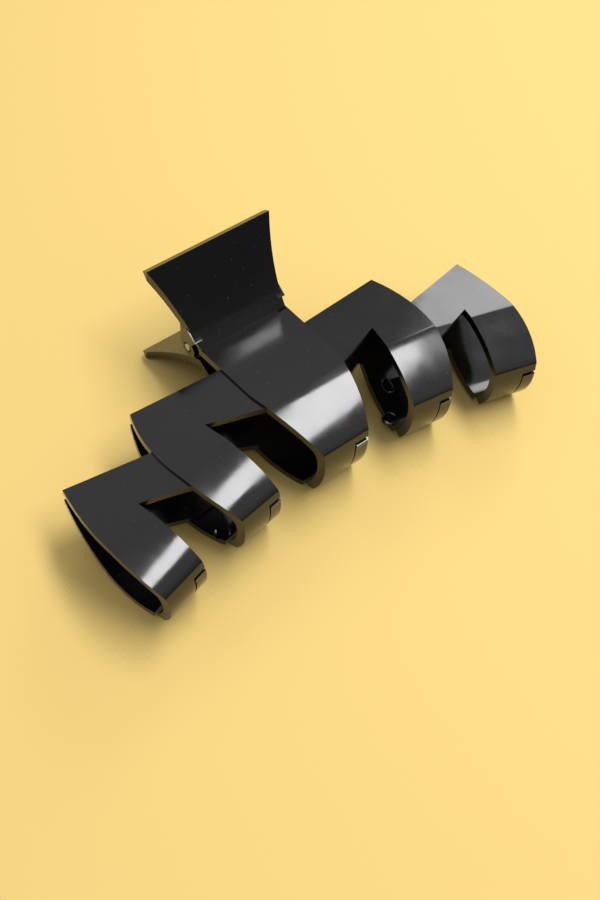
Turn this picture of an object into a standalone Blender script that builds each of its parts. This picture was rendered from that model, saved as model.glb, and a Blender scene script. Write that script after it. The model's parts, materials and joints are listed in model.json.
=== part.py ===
"""Large claw clip: two moulded jaws with five wide claws each, on a sprung hinge.

The clip is modelled closed and lying on its side. Metres, +Z up, hinge axis along X,
claws towards +Y. Sizes are given in the clip's own frame: y runs forward from the front
edge of the middle claw and z rises from the plane between the two jaws. The assembly is
then pitched so that it lies on its lower claws and its lower thumb pad.
"""
import math

import bmesh
import bpy
from mathutils import Matrix, Vector

MM = 0.001

# Driving dimensions, millimetres
WALL = 2.3                     # moulded wall of the jaws
FRONT_HEIGHT = 10.0            # top edge of the claw fronts above the mid-plane
SHOULDER = (-17.0, 12.2)       # (y, z) of the crease where the roof starts to fall back
REAR = (-41.5, 3.8)            # (y, z) of the crease between roof and thumb pad
PAD_END = (-58.5, 20.0)        # (y, z) of the thumb pad's free edge
ROOF_CROWN = 1.3               # rise of the claw roofs over the straight line
PAD_SAG = 1.2                  # hollow of the thumb pad
FRONT_BULGE = 1.6              # how far the claw fronts bow forward of their top edge
STEP = 0.9                     # each claw further out lies this much lower
GAP = 0.35                     # clearance between pieces
FRONT_INSET = 0.07             # keeps a claw's front edge just behind its plan corners

PIVOT_Y = -46.0                # hinge pin, on the mid-plane
PIN_RADIUS = 1.1
PIN_HALF_LENGTH = 13.9
EAR_RADIUS = 3.0
EAR_WIDTH = 2.2
UPPER_EAR_X = 12.6             # middle of the upper jaw's ears
LOWER_EAR_X = 9.9
COIL_RADIUS = 2.3              # centre line of the spring's coil
WIRE_RADIUS = 0.5
COIL_TURNS = 7
LEG_LENGTH = 7.5
LEG_LIFT = math.radians(39)    # slope of the spring's legs, along the thumb pads

# Plan outlines for the +X half of the clip
PAD_HALF_END = 17.8
PAD_HALF_ROOT = 12.8
MIDDLE_HALF_SHOULDER = 11.4
MIDDLE_HALF_FRONT = 6.6
INNER_CLAW = {"rear": (36.9, -36.0), "bow": (43.0, -18.0), "front_out": (31.5, 2.5),
              "front_in": (20.2, 1.0), "notch": (25.2, -22.3), "under": (8.0, -16.0),
              "root": (8.0, -33.5)}
OUTER_CLAW = {"rear": (60.0, -27.8), "bow": (62.5, -8.0), "front_out": (55.5, 8.1),
              "front_in": (44.0, 5.2), "notch": (48.8, -13.8), "under": (33.0, -9.0),
              "root": (33.0, -22.5)}

# The fronts of a claw pair share its width: the upper hook takes this much of it
HOOK_SHARE_TOP = 0.71
HOOK_SHARE_BOTTOM = 0.69

BLACK = (0.004, 0.004, 0.005, 1.0)
STEEL = (0.55, 0.55, 0.56, 1.0)


def make_material(name, colour, metallic, roughness):
    material = bpy.data.materials.new(name)
    material.use_nodes = True
    shader = material.node_tree.nodes["Principled BSDF"]
    shader.inputs["Base Color"].default_value = colour
    shader.inputs["Metallic"].default_value = metallic
    shader.inputs["Roughness"].default_value = roughness
    return material


def link_mesh(name, bm):
    bmesh.ops.recalc_face_normals(bm, faces=bm.faces)
    mesh = bpy.data.meshes.new(name)
    bm.to_mesh(mesh)
    bm.free()
    thing = bpy.data.objects.new(name, mesh)
    bpy.context.collection.objects.link(thing)
    return thing


def prism(name, outline, axis, low, high):
    """Closed solid from a flat outline in mm, extruded along "X", "Y" or "Z"."""
    places = {"X": lambda a, b, c: (c, a, b),
              "Y": lambda a, b, c: (a, c, b),
              "Z": lambda a, b, c: (a, b, c)}
    bm = bmesh.new()
    ring = [bm.verts.new(Vector(places[axis](a, b, low)) * MM) for a, b in outline]
    face = bm.faces.new(ring)
    made = bmesh.ops.extrude_face_region(bm, geom=[face])
    lift = Vector(places[axis](0, 0, high - low)) * MM
    moved = [item for item in made["geom"] if isinstance(item, bmesh.types.BMVert)]
    bmesh.ops.translate(bm, verts=moved, vec=lift)
    return link_mesh(name, bm)


def combine(target, tool, operation):
    """Apply an exact boolean to target and remove the tool."""
    modifier = target.modifiers.new("cut", "BOOLEAN")
    modifier.operation = operation
    modifier.solver = "EXACT"
    modifier.object = tool
    graph = bpy.context.evaluated_depsgraph_get()
    result = bpy.data.meshes.new_from_object(target.evaluated_get(graph))
    target.modifiers.clear()
    target.data = result
    bpy.data.objects.remove(tool)
    return target


def bow(start, middle, end, count):
    """Points of a quadratic curve, without its last one."""
    points = []
    for step in range(count):
        t = step / count
        points.append(tuple(start[i] * (1 - t) ** 2 + 2 * middle[i] * t * (1 - t) + end[i] * t * t
                            for i in range(2)))
    return points


def distance_to_line(point, line):
    """Shortest distance from a point to an open line of points."""
    nearest = 1e9
    for start, end in zip(line, line[1:]):
        a, b = Vector(start), Vector(end)
        along = (b - a).length_squared or 1.0
        t = min(max((Vector(point) - a).dot(b - a) / along, 0.0), 1.0)
        nearest = min(nearest, (Vector(point) - a - (b - a) * t).length)
    return nearest


def inset_line(points, distance):
    """Offset an open line to its right-hand side, without the loops that tight bends make."""
    moved = []
    for index, point in enumerate(points):
        here = Vector(point)
        before = here - Vector(points[index - 1]) if index else Vector(points[1]) - here
        after = Vector(points[index + 1]) - here if index < len(points) - 1 else before
        before.normalize()
        after.normalize()
        normal = Vector((before.y + after.y, -before.x - after.x)).normalized()
        stretch = 1.0 / max(normal.dot(Vector((before.y, -before.x))), 0.5)
        moved.append(tuple(here + normal * distance * stretch))
    return [p for p in moved if distance_to_line(p, points) > 0.993 * distance]


def roof_line(with_pad, drop):
    """Outer side profile (y, z) of a jaw from its rear end to the front edge of a claw."""
    rise = Vector(SHOULDER) - Vector(REAR)
    line = []
    if with_pad:
        sag = Vector((0.5 * (PAD_END[0] + REAR[0]) + PAD_SAG, 0.5 * (PAD_END[1] + REAR[1]) - 2 * PAD_SAG))
        line += bow(PAD_END, sag, REAR, 8)
        line.append(REAR)
    else:
        line.append(tuple(Vector(REAR) - 0.2 * rise))
    crown = Vector((0.4 * SHOULDER[0], 0.5 * (SHOULDER[1] + FRONT_HEIGHT) + 2 * ROOF_CROWN))
    line += bow(SHOULDER, crown, (-0.9, FRONT_HEIGHT), 14)
    line += bow((-0.9, FRONT_HEIGHT), (-0.1, FRONT_HEIGHT - 0.35), (0.0, FRONT_HEIGHT - 1.2), 4)
    return [(y, z - drop) for y, z in line]


def front_line(top, bottom, count=10):
    """The bowed claw front (y, z) from its top edge down to its bottom edge."""
    middle = (2 * FRONT_BULGE, 0.5 * (top + bottom))
    return bow((0.0, top), middle, (0.0, bottom), count) + [(0.0, bottom)]


def claw_section(with_pad, drop, hook_end):
    """Closed section of roof and front wall. The front runs down to hook_end."""
    top = FRONT_HEIGHT - 1.2 - drop
    outer = roof_line(with_pad, drop) + [p for p in front_line(top, -top) if p[1] > hook_end]
    outer.append((outer[-1][0] - 0.03, hook_end))
    inner = inset_line(outer, WALL)
    return outer + inner[::-1]


def middle_plan():
    side = [(PAD_HALF_END, PAD_END[0] - 3), (PAD_HALF_END, PAD_END[0])]
    side += bow((PAD_HALF_END, PAD_END[0] + 0.1), (PAD_HALF_ROOT + 0.6, -50.0), (PAD_HALF_ROOT, REAR[0]), 8)
    side += [(PAD_HALF_ROOT, REAR[0])]
    side += bow((MIDDLE_HALF_SHOULDER + 1.0, SHOULDER[0] - 6), (MIDDLE_HALF_SHOULDER, SHOULDER[0] + 4),
                (MIDDLE_HALF_FRONT, 0.0), 10)
    side += [(MIDDLE_HALF_FRONT, FRONT_INSET), (MIDDLE_HALF_FRONT - 0.3, 4.0)]
    return side + [(-x, y) for x, y in reversed(side)]


def side_plan(claw, side):
    """Plan outline of an inner or outer claw with the web that joins it to its neighbour."""
    forward = Vector(claw["front_out"]) - Vector(claw["front_in"])
    ahead = Vector((-forward.y, forward.x)).normalized() * 4.0
    outline = bow(claw["rear"], claw["bow"], claw["front_out"], 12)
    outline += [claw["front_out"], tuple(Vector(claw["front_out"]) + ahead),
                tuple(Vector(claw["front_in"]) + ahead), claw["front_in"]]
    outline += [claw["notch"], claw["under"], claw["root"]]
    return [(side * x, y) for x, y in outline]


def claw_frame(claw, side):
    """Placement of a claw's section: front edge through its two front corners."""
    outer, inner = Vector(claw["front_out"]), Vector(claw["front_in"])
    centre = 0.5 * (outer + inner)
    lean = math.atan2(outer.y - inner.y, outer.x - inner.x) * side
    place = Matrix.Translation(Vector((side * centre.x, centre.y - FRONT_INSET, 0)) * MM)
    return place @ Matrix.Rotation(lean, 4, "Z"), (outer - inner).length / 2


def hook_edge(half_width, height, shift):
    """The parting line between an upper and a lower hook, as (x, z) from bottom to top."""
    at_top = half_width * (1 - 2 * HOOK_SHARE_TOP) + shift
    at_bottom = half_width * (1 - 2 * HOOK_SHARE_BOTTOM) + shift
    return [(at_bottom + 2.0, -height), (at_bottom + 0.5, 0.9 - height),
            (at_bottom, 2.2 - height), (at_top, height)]


def part_hooks(jaw, frame, half_width, drop, upper):
    """Cut the share of the claw front that belongs to the other jaw."""
    height = FRONT_HEIGHT - drop
    wide = half_width + 6
    edge = hook_edge(half_width, height, 0.5 * GAP if upper else -0.5 * GAP)
    below = [(edge[0][0], -height - 4)]
    if upper:
        under_roof = height - WALL - GAP
        fraction = (under_roof - edge[2][1]) / (edge[3][1] - edge[2][1])
        edge[3] = (edge[2][0] + fraction * (edge[3][0] - edge[2][0]), under_roof)
        outline = below + edge + [(-wide, under_roof), (-wide, -height - 4)]
        low = -WALL - 3.2
    else:
        outline = below + edge + [(edge[3][0], height + 4), (wide, height + 4), (wide, -height - 4)]
        low = -WALL - 2 * GAP
    cutter = prism("cutter", outline, "Y", low, 8.0)
    cutter.data.transform(frame)
    return combine(jaw, cutter, "DIFFERENCE")


def section_body(name, plan, frame, with_pad, drop, hook_end):
    body = prism(name, claw_section(with_pad, drop, hook_end), "X", -45.0, 45.0)
    body.data.transform(frame)
    return combine(body, prism("plan", plan, "Z", -40.0, 40.0), "INTERSECT")


def add_ears(jaw, x_middle):
    """Two bored ears that carry the hinge pin."""
    for side in (-1, 1):
        low, high = side * x_middle - EAR_WIDTH / 2, side * x_middle + EAR_WIDTH / 2
        ring = [(PIVOT_Y + EAR_RADIUS * math.cos(a), EAR_RADIUS * math.sin(a))
                for a in (math.radians(200 + 220 * k / 16) for k in range(17))]
        web = [(PIVOT_Y + EAR_RADIUS - 0.1, 5.6), (PIVOT_Y - 0.2, 6.9), (PIVOT_Y - 4.2, 9.4)]
        jaw = combine(jaw, prism("ear", ring + web, "X", low, high), "UNION")
    bore = [((PIN_RADIUS + GAP) * math.cos(a) + PIVOT_Y, (PIN_RADIUS + GAP) * math.sin(a))
            for a in (2 * math.pi * k / 24 for k in range(24))]
    return combine(jaw, prism("bore", bore, "X", -x_middle - 3, x_middle + 3), "DIFFERENCE")


def build_jaw(name, upper, material):
    """One moulded jaw, made roof up. The lower jaw is turned over about the Y axis."""
    hook_end = -FRONT_HEIGHT + 0.9 if upper else -FRONT_HEIGHT + WALL + GAP + 0.9
    jaw = section_body(name, middle_plan(), Matrix(), True, 0.0, hook_end)
    frames = [(Matrix(), MIDDLE_HALF_FRONT, 0.0)]
    for level, claw in enumerate((INNER_CLAW, OUTER_CLAW), start=1):
        for side in (1, -1):
            frame, half_width = claw_frame(claw, side)
            end = hook_end + STEP * level
            body = section_body("claw", side_plan(claw, side), frame, False, STEP * level, end)
            jaw = combine(jaw, body, "UNION")
            frames.append((frame, half_width, STEP * level))
    jaw = add_ears(jaw, UPPER_EAR_X if upper else LOWER_EAR_X)
    if not upper:
        jaw.data.transform(Matrix.Rotation(math.pi, 4, "Y"))
    for frame, half_width, drop in frames:
        jaw = part_hooks(jaw, frame, half_width, drop, upper)
    jaw.data.materials.clear()
    jaw.data.materials.append(material)
    return jaw


def round_off(thing, angle):
    thing.data.shade_smooth()
    thing.data.set_sharp_from_angle(angle=math.radians(angle))


def build_pin(material):
    bm = bmesh.new()
    bmesh.ops.create_cone(bm, cap_ends=True, segments=24, radius1=PIN_RADIUS * MM,
                          radius2=PIN_RADIUS * MM, depth=2 * PIN_HALF_LENGTH * MM)
    rims = [e for e in bm.edges if abs(e.verts[0].co.z - e.verts[1].co.z) < 1e-6]
    bmesh.ops.bevel(bm, geom=rims, offset=0.25 * MM, segments=2, affect="EDGES", profile=0.5)
    bmesh.ops.rotate(bm, verts=bm.verts, matrix=Matrix.Rotation(math.pi / 2, 3, "Y"))
    bmesh.ops.translate(bm, verts=bm.verts, vec=Vector((0, PIVOT_Y, 0)) * MM)
    pin = link_mesh("hinge_pin", bm)
    pin.data.materials.append(material)
    return pin


def spring_route():
    """Centre line of the torsion spring: leg, coil, leg."""
    pitch = 2 * WIRE_RADIUS + 0.15
    half = COIL_TURNS * pitch / 2
    points = []
    start = LEG_LIFT - math.pi / 2
    turn = 2 * math.pi * COIL_TURNS - 2 * start
    steps = COIL_TURNS * 16
    first = Vector((-math.sin(start), math.cos(start)))
    for k in range(steps + 1):
        angle = start + turn * k / steps
        points.append((-half + 2 * half * k / steps, PIVOT_Y + COIL_RADIUS * math.cos(angle),
                       COIL_RADIUS * math.sin(angle)))
    last = Vector((-math.sin(start + turn), math.cos(start + turn)))
    head = [(points[0][0], points[0][1] - first.x * r, points[0][2] - first.y * r)
            for r in (LEG_LENGTH, LEG_LENGTH / 2)]
    tail = [(points[-1][0], points[-1][1] + last.x * r, points[-1][2] + last.y * r)
            for r in (LEG_LENGTH / 2, LEG_LENGTH)]
    return head + points + tail


def build_spring(material):
    curve = bpy.data.curves.new("torsion_spring", "CURVE")
    curve.dimensions = "3D"
    curve.bevel_depth = WIRE_RADIUS * MM
    curve.bevel_resolution = 2
    curve.use_fill_caps = True
    route = spring_route()
    spline = curve.splines.new("POLY")
    spline.points.add(len(route) - 1)
    for point, (x, y, z) in zip(spline.points, route):
        point.co = (x * MM, y * MM, z * MM, 1.0)
    spring = bpy.data.objects.new("torsion_spring", curve)
    bpy.context.collection.objects.link(spring)
    curve.materials.append(material)
    return spring


def main():
    for thing in list(bpy.data.objects):
        bpy.data.objects.remove(thing)
    black = make_material("black_plastic", BLACK, 0.0, 0.08)
    steel = make_material("spring_steel", STEEL, 1.0, 0.3)
    upper = build_jaw("upper_jaw", True, black)
    lower = build_jaw("lower_jaw", False, black)
    for jaw in (upper, lower):
        round_off(jaw, 24)
    pin = build_pin(steel)
    round_off(pin, 40)
    spring = build_spring(steel)

    # Pitch the clip until it lies on its lower claws and lower pad, centred over the origin
    heel = min((v.co for v in lower.data.vertices), key=lambda place: place.z)
    claws = [v.co for v in lower.data.vertices if v.co.y > 0.5 * PIVOT_Y * MM]
    slope = min(math.atan2(place.z - heel.z, place.y - heel.y) for place in claws)
    pitch = Matrix.Rotation(-slope, 4, "X")
    meshes = [upper.data, lower.data, pin.data, spring.data]
    for data in meshes:
        data.transform(pitch)
    corners = [v.co for data in meshes[:3] for v in data.vertices]
    low = Vector(min(c[i] for c in corners) for i in range(3))
    high = Vector(max(c[i] for c in corners) for i in range(3))
    shift = Vector((-(low.x + high.x) / 2, -(low.y + high.y) / 2, -low.z))
    axis = pitch @ Vector((0, PIVOT_Y * MM, 0)) + shift
    for thing in (upper, lower, pin, spring):
        thing.data.transform(Matrix.Translation(shift - axis))
        thing.location = axis


main()
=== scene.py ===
import json
import math

import bmesh
import bpy
from mathutils import Matrix, Vector
from mathutils.bvhtree import BVHTree


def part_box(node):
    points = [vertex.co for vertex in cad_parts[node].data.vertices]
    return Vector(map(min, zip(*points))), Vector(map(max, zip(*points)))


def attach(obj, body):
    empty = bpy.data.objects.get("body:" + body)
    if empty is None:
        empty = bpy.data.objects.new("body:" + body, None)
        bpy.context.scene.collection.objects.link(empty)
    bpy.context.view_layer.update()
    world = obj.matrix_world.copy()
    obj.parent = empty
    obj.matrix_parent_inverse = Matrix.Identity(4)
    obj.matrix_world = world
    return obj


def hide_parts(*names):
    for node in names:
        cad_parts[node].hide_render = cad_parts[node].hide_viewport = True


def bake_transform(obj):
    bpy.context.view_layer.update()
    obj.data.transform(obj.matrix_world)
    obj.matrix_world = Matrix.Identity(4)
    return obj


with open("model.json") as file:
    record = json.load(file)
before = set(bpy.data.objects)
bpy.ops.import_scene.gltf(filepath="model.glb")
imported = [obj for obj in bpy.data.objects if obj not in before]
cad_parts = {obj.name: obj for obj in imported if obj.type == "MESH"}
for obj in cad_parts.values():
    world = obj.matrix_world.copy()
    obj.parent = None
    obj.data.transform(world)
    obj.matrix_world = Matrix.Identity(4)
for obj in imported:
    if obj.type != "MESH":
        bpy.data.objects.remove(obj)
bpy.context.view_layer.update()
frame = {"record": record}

MM = 0.001
JOINT = frame["record"]["behaviour"]["joints"][0]
HINGE = Vector(JOINT["pos_m"])

# Mouldings: facets flatter than FLAT_ANGLE are merged, edges sharper than EDGE_ANGLE rounded
FLAT_ANGLE = math.radians(0.6)
EDGE_ANGLE = math.radians(22)
EDGE_RADIUS = 0.42 * MM
EDGE_SEGMENTS = 3
NORMAL_WEIGHT = 50
JAW_WELD = 0.00001
TURNED_WELD = 1e-7

# Torsion spring
COIL_RADIUS = 2.3 * MM
WIRE_RADIUS = 0.5 * MM
COIL_TURNS = 7
TURN_PITCH = 1.15 * MM
LEG_LENGTH = 7.5 * MM
LEG_LIFT = math.radians(39)
PITCH_DOWN = 0.14901            # radians that the mid-plane dips towards the claws
TUBE_SIDES = 14
STEPS_A_TURN = 28
LEG_STEPS = 8
END_SHARE = 0.6                 # height of the wire's conical ends, as a share of its radius
PIN_SIDES = 40

# Camera
CAMERA_AIM = Vector((0.00782, 0.02004, 0.015))
CAMERA_AZIMUTH = math.radians(40.97)
CAMERA_ELEVATION = math.radians(57.59)
CAMERA_ROLL = math.radians(4.73)
CAMERA_DISTANCE = 0.25144
CAMERA_LENS = 42.0
CAMERA_NEAR = 0.01

# Moulding marks on the lower jaw's inner face: name, x, y, radius, stretch. Each mark's
# height comes from a ray cast down from INSIDE_HEIGHT, which is between the jaws.
INSIDE_HEIGHT = 10.0 * MM
MARK_RADIUS = 2.1 * MM
MARK_SIDES = 36
MARKS = [("mould_mark_left", 0.0322, 0.0222, MARK_RADIUS, 1.0),
         ("mould_mark_right", -0.0218, 0.0202, MARK_RADIUS, 1.0),
         ("mould_pip_right", -0.0276, 0.0120, 0.75 * MARK_RADIUS, 1.5)]

# Colours, light and floor
BLACK = (0.0045, 0.0042, 0.0046, 1.0)
DUST = (0.16, 0.15, 0.14, 1.0)
SPRING_TINT = 0.55
PIN_TINT = 0.62
STAINED_SHARE = 0.75
FLOOR_COLOUR = (0.70, 0.50, 0.155, 1.0)
FLOOR_ROUGHNESS = 0.75
FLOOR_HALF = 1.6
FLOOR_CELLS = 8
SKY_SHADES = [(0.0, 0.04), (0.38, 0.13), (0.62, 0.75)]
SKY_STRENGTH = 0.95
LIGHT_AIM = Vector((0, 0, 0))


# ---------------------------------------------------------------- materials
def new_material(name):
    material = bpy.data.materials.new(name)
    material.use_nodes = True
    nodes = material.node_tree.nodes
    return material, nodes, material.node_tree.links, nodes["Principled BSDF"]


def add_noise(nodes, links, place, scale, detail=4.0, stretch=(1.0, 1.0, 1.0)):
    mapping = nodes.new("ShaderNodeMapping")
    mapping.inputs["Scale"].default_value = stretch
    links.new(place.outputs["Object"], mapping.inputs["Vector"])
    noise = nodes.new("ShaderNodeTexNoise")
    noise.inputs["Scale"].default_value = scale
    noise.inputs["Detail"].default_value = detail
    links.new(mapping.outputs["Vector"], noise.inputs["Vector"])
    return noise


def add_ramp(nodes, links, source, stops):
    ramp = nodes.new("ShaderNodeValToRGB")
    while len(ramp.color_ramp.elements) < len(stops):
        ramp.color_ramp.elements.new(0.5)
    for element, (position, value) in zip(ramp.color_ramp.elements, stops):
        element.position = position
        element.color = (value, value, value, 1.0)
    links.new(source, ramp.inputs["Fac"])
    return ramp


def add_bump(nodes, links, height, strength, distance, under=None):
    bump = nodes.new("ShaderNodeBump")
    bump.inputs["Strength"].default_value = strength
    bump.inputs["Distance"].default_value = distance
    links.new(height, bump.inputs["Height"])
    if under:
        links.new(under.outputs["Normal"], bump.inputs["Normal"])
    return bump


def black_gloss():
    """Injection-moulded black: high gloss, slow waves, hairline scuffs and dust specks."""
    material, nodes, links, shader = new_material("black_gloss")
    place = nodes.new("ShaderNodeTexCoord")
    shader.inputs["IOR"].default_value = 1.52
    waves = add_noise(nodes, links, place, scale=55.0, detail=2.0)
    scuffs = add_noise(nodes, links, place, scale=420.0, detail=6.0, stretch=(1.0, 0.06, 0.25))
    dust = add_noise(nodes, links, place, scale=2600.0, detail=1.0)
    hairs = add_ramp(nodes, links, scuffs.outputs["Fac"], [(0.66, 0.0), (0.70, 1.0)])
    specks = add_ramp(nodes, links, dust.outputs["Fac"], [(0.775, 0.0), (0.81, 1.0)])
    haze = add_noise(nodes, links, place, scale=95.0, detail=5.0)
    rough = add_ramp(nodes, links, haze.outputs["Fac"], [(0.30, 0.07), (0.75, 0.17)])
    links.new(rough.outputs["Color"], shader.inputs["Roughness"])
    colour = nodes.new("ShaderNodeMix")
    colour.data_type = "RGBA"
    colour.inputs["A"].default_value = BLACK
    colour.inputs["B"].default_value = DUST
    links.new(specks.outputs["Color"], colour.inputs["Factor"])
    links.new(colour.outputs["Result"], shader.inputs["Base Color"])
    slow = add_bump(nodes, links, waves.outputs["Fac"], strength=0.16, distance=0.0006)
    fine = add_bump(nodes, links, hairs.outputs["Color"], strength=0.10, distance=0.00001,
                    under=slow)
    grit = add_bump(nodes, links, specks.outputs["Color"], strength=0.2, distance=0.00002,
                    under=fine)
    links.new(grit.outputs["Normal"], shader.inputs["Normal"])
    return material


def drawn_steel(name, tint):
    """Drawn steel wire: fine lines along X and faint stains."""
    material, nodes, links, shader = new_material(name)
    place = nodes.new("ShaderNodeTexCoord")
    shader.inputs["Metallic"].default_value = 1.0
    lines = add_noise(nodes, links, place, scale=900.0, detail=4.0, stretch=(0.08, 1.0, 1.0))
    stain = add_noise(nodes, links, place, scale=160.0, detail=3.0)
    rough = add_ramp(nodes, links, stain.outputs["Fac"], [(0.3, 0.18), (0.7, 0.36)])
    links.new(rough.outputs["Color"], shader.inputs["Roughness"])
    shade = add_ramp(nodes, links, stain.outputs["Fac"],
                     [(0.3, tint), (0.75, tint * STAINED_SHARE)])
    links.new(shade.outputs["Color"], shader.inputs["Base Color"])
    bump = add_bump(nodes, links, lines.outputs["Fac"], strength=0.3, distance=0.00003)
    links.new(bump.outputs["Normal"], shader.inputs["Normal"])
    return material


def floor_paper():
    material, nodes, links, shader = new_material("floor_paper")
    place = nodes.new("ShaderNodeTexCoord")
    grain = add_noise(nodes, links, place, scale=900.0, detail=6.0)
    shader.inputs["Base Color"].default_value = FLOOR_COLOUR
    shader.inputs["Roughness"].default_value = FLOOR_ROUGHNESS
    bump = add_bump(nodes, links, grain.outputs["Fac"], strength=0.12, distance=0.00008)
    links.new(bump.outputs["Normal"], shader.inputs["Normal"])
    return material


# ---------------------------------------------------------------- pieces
def link_mesh(name, bm, smooth=True):
    """Turn the bmesh into a linked object."""
    mesh = bpy.data.meshes.new(name)
    bm.to_mesh(mesh)
    bm.free()
    if smooth:
        mesh.shade_smooth()
    thing = bpy.data.objects.new(name, mesh)
    bpy.context.collection.objects.link(thing)
    return thing


def turned(points, axis, sides):
    """An open outline turned a full circle about an axis through the origin."""
    bm = bmesh.new()
    verts = [bm.verts.new(point) for point in points]
    edges = [bm.edges.new(pair) for pair in zip(verts, verts[1:])]
    bmesh.ops.spin(bm, geom=verts + edges, cent=(0, 0, 0), axis=axis, angle=2 * math.pi,
                   steps=sides, use_merge=True)
    bmesh.ops.remove_doubles(bm, verts=bm.verts, dist=TURNED_WELD)
    return bm


def finish_piece(thing, material, body, node):
    thing.data.materials.clear()
    thing.data.materials.append(material)
    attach(thing, body)
    if node:
        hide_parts(node)


def softened_jaw(node, body, material):
    """The CAD jaw with its flat facets merged and every sharp edge rounded."""
    mesh = bpy.data.objects[node].data.copy()
    bm = bmesh.new()
    bm.from_mesh(mesh)
    bmesh.ops.remove_doubles(bm, verts=bm.verts, dist=JAW_WELD)
    bmesh.ops.dissolve_limit(bm, angle_limit=FLAT_ANGLE, verts=bm.verts, edges=bm.edges)
    bm.to_mesh(mesh)
    bm.free()
    piece = bpy.data.objects.new(node + "_gloss", mesh)
    bpy.context.collection.objects.link(piece)
    bevel = piece.modifiers.new("edges", "BEVEL")
    bevel.width = EDGE_RADIUS
    bevel.segments = EDGE_SEGMENTS
    bevel.limit_method = "ANGLE"
    bevel.angle_limit = EDGE_ANGLE
    bevel.use_clamp_overlap = True
    piece.data.shade_smooth()
    weighted = piece.modifiers.new("shading", "WEIGHTED_NORMAL")
    weighted.weight = NORMAL_WEIGHT
    weighted.mode = "FACE_AREA_WITH_ANGLE"
    graph = bpy.context.evaluated_depsgraph_get()
    done = bpy.data.meshes.new_from_object(piece.evaluated_get(graph))
    piece.modifiers.clear()
    piece.data = done
    finish_piece(piece, material, body, node)


def build_tube(name, route, radius, sides=TUBE_SIDES):
    """Closed round tube along a list of points, with blunt conical ends."""
    bm = bmesh.new()
    rings = []
    previous = Vector((1, 0, 0))
    count = len(route)
    for index, point in enumerate(route):
        ahead = (route[min(index + 1, count - 1)] - route[max(index - 1, 0)]).normalized()
        side = previous - ahead * previous.dot(ahead)
        side = side.normalized() if side.length > 1e-6 else ahead.orthogonal().normalized()
        up = ahead.cross(side)
        previous = side
        ring = [bm.verts.new(point + radius * (side * math.cos(a) + up * math.sin(a)))
                for a in (2 * math.pi * k / sides for k in range(sides))]
        rings.append(ring)
    for first, second in zip(rings, rings[1:]):
        for k in range(sides):
            bm.faces.new((first[k], first[(k + 1) % sides], second[(k + 1) % sides], second[k]))
    for ring, away in ((rings[0], route[0] - route[1]), (rings[-1], route[-1] - route[-2])):
        centre = sum((v.co for v in ring), Vector()) / sides
        tip = bm.verts.new(centre + away.normalized() * radius * END_SHARE)
        for k in range(sides):
            bm.faces.new((ring[k], ring[(k + 1) % sides], tip))
    bmesh.ops.recalc_face_normals(bm, faces=bm.faces)
    return link_mesh(name, bm)


def spring_route():
    """Centre line of leg, coil and leg around the hinge, and half the coil's length."""
    tilt = Matrix.Rotation(-PITCH_DOWN, 3, "X")
    half = COIL_TURNS * TURN_PITCH / 2
    start = LEG_LIFT - math.pi / 2
    turn = 2 * math.pi * COIL_TURNS - 2 * start
    steps = COIL_TURNS * STEPS_A_TURN
    coil = []
    for k in range(steps + 1):
        angle = start + turn * k / steps
        coil.append(Vector((-half + 2 * half * k / steps, COIL_RADIUS * math.cos(angle),
                            COIL_RADIUS * math.sin(angle))))
    first = Vector((0, -math.sin(start), math.cos(start)))
    last = Vector((0, -math.sin(start + turn), math.cos(start + turn)))
    head = [coil[0] - first * LEG_LENGTH * k / LEG_STEPS for k in range(LEG_STEPS, 0, -1)]
    tail = [coil[-1] + last * LEG_LENGTH * k / LEG_STEPS for k in range(1, LEG_STEPS + 1)]
    return [HINGE + tilt @ point for point in head + coil + tail], half


def build_spring(material):
    route, half = spring_route()
    spring = build_tube("spring_wire", route, WIRE_RADIUS)
    spring.data.materials.append(material)
    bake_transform(spring)
    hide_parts("torsion_spring")


def build_pin(material):
    """Hinge pin with rounded, slightly dished ends, from a turned outline."""
    low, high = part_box("hinge_pin")
    half = (high[0] - low[0]) / 2
    radius = (high[2] - low[2]) / 2
    outline = [(half - 0.25 * MM, 0.0), (half - 0.05 * MM, 0.45 * radius), (half, 0.7 * radius),
               (half - 0.12 * MM, 0.9 * radius), (half - 0.4 * MM, radius)]
    profile = outline + [(-x, r) for x, r in reversed(outline)]
    bm = turned([(x, 0.0, r) for x, r in profile], (1, 0, 0), PIN_SIDES)
    bmesh.ops.recalc_face_normals(bm, faces=bm.faces)
    bmesh.ops.translate(bm, verts=bm.verts, vec=HINGE)
    finish_piece(link_mesh("pin_turned", bm), material, "lower", "hinge_pin")


def build_mark(name, x, y, radius, stretch, material):
    """Round moulding mark on the lower jaw's inner face: a shallow dish in a fine raised rim."""
    jaw = bpy.data.objects["lower_jaw"].data
    tree = BVHTree.FromPolygons([v.co for v in jaw.vertices], [p.vertices for p in jaw.polygons])
    place, normal, _, _ = tree.ray_cast(Vector((x, y, INSIDE_HEIGHT)), Vector((0, 0, -1)))
    if place is None:
        raise RuntimeError("no jaw under the mark " + name)
    outline = [(0.0, 0.05), (0.55, 0.05), (0.80, 0.07), (0.86, 0.16), (0.93, 0.18), (1.0, 0.10),
               (1.03, -0.10)]
    bm = turned([(r * radius, 0.0, h * MM) for r, h in outline], (0, 0, 1), MARK_SIDES)
    bmesh.ops.scale(bm, verts=bm.verts, vec=(1.0, stretch, 1.0))
    bmesh.ops.holes_fill(bm, edges=bm.edges, sides=0)
    bmesh.ops.recalc_face_normals(bm, faces=bm.faces)
    turn = normal.to_track_quat("Z", "Y").to_matrix().to_4x4()
    bmesh.ops.transform(bm, matrix=Matrix.Translation(place) @ turn, verts=bm.verts)
    finish_piece(link_mesh(name, bm), material, "lower", None)


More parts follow.
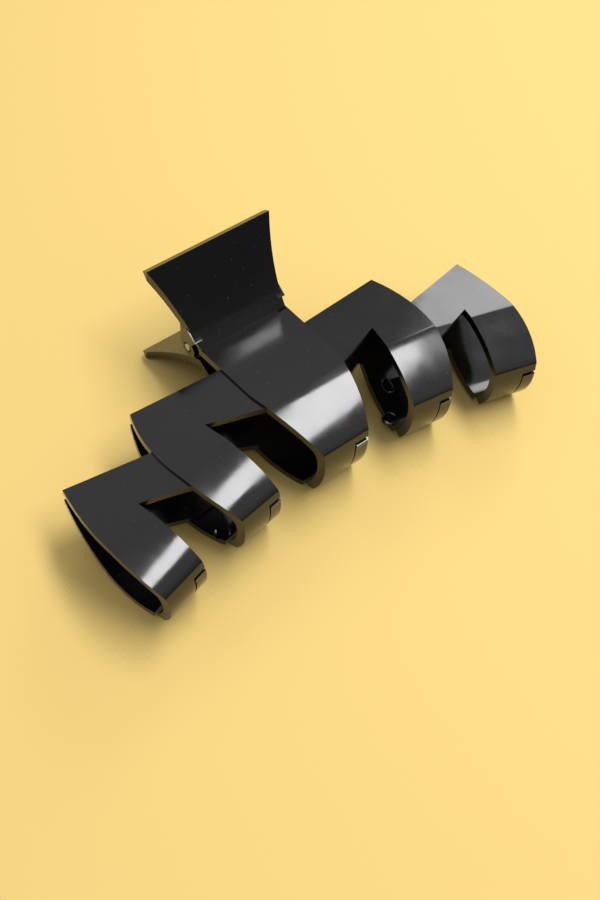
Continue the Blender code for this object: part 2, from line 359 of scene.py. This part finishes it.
# ---------------------------------------------------------------- studio
def build_floor():
    bm = bmesh.new()
    bmesh.ops.create_grid(bm, x_segments=FLOOR_CELLS, y_segments=FLOOR_CELLS, size=FLOOR_HALF)
    floor = link_mesh("floor", bm, smooth=False)
    floor.data.materials.append(floor_paper())


def area_light(name, place, size, power):
    """White softbox aimed at the middle of the clip."""
    data = bpy.data.lights.new(name, "AREA")
    data.shape = "RECTANGLE"
    data.size, data.size_y = size
    data.energy = power
    lamp = bpy.data.objects.new(name, data)
    lamp.location = place
    lamp.rotation_euler = (LIGHT_AIM - Vector(place)).to_track_quat("-Z", "Y").to_euler()
    bpy.context.collection.objects.link(lamp)


def build_world():
    """Even grey sky, darker towards the horizon."""
    world = bpy.data.worlds.new("studio")
    bpy.context.scene.world = world
    world.use_nodes = True
    nodes, links = world.node_tree.nodes, world.node_tree.links
    place = nodes.new("ShaderNodeTexCoord")
    split = nodes.new("ShaderNodeSeparateXYZ")
    links.new(place.outputs["Generated"], split.inputs["Vector"])
    ramp = add_ramp(nodes, links, split.outputs["Z"], SKY_SHADES)
    back = nodes["Background"]
    links.new(ramp.outputs["Color"], back.inputs["Color"])
    back.inputs["Strength"].default_value = SKY_STRENGTH


def build_camera():
    direction = Vector((math.sin(CAMERA_AZIMUTH) * math.cos(CAMERA_ELEVATION),
                        math.cos(CAMERA_AZIMUTH) * math.cos(CAMERA_ELEVATION),
                        math.sin(CAMERA_ELEVATION)))
    data = bpy.data.cameras.new("camera")
    data.lens = CAMERA_LENS
    data.clip_start = CAMERA_NEAR
    camera = bpy.data.objects.new("camera", data)
    camera.location = CAMERA_AIM + direction * CAMERA_DISTANCE
    turn = (-direction).to_track_quat("-Z", "Y").to_matrix().to_4x4()
    turn = turn @ Matrix.Rotation(CAMERA_ROLL, 4, "Z")
    camera.rotation_euler = turn.to_euler()
    bpy.context.collection.objects.link(camera)
    bpy.context.scene.camera = camera


bpy.context.scene.view_settings.view_transform = "Standard"
plastic = black_gloss()
softened_jaw("upper_jaw", "upper", plastic)
softened_jaw("lower_jaw", "lower", plastic)
build_spring(drawn_steel("spring_steel", SPRING_TINT))
build_pin(drawn_steel("pin_steel", PIN_TINT))
for mark in MARKS:
    build_mark(*mark, plastic)
build_floor()
build_world()
area_light("strip", place=(-0.34, 0.10, 0.90), size=(0.9, 0.20), power=9.0)
area_light("key", place=(-0.75, -0.55, 0.55), size=(0.3, 0.3), power=1.6)
build_camera()
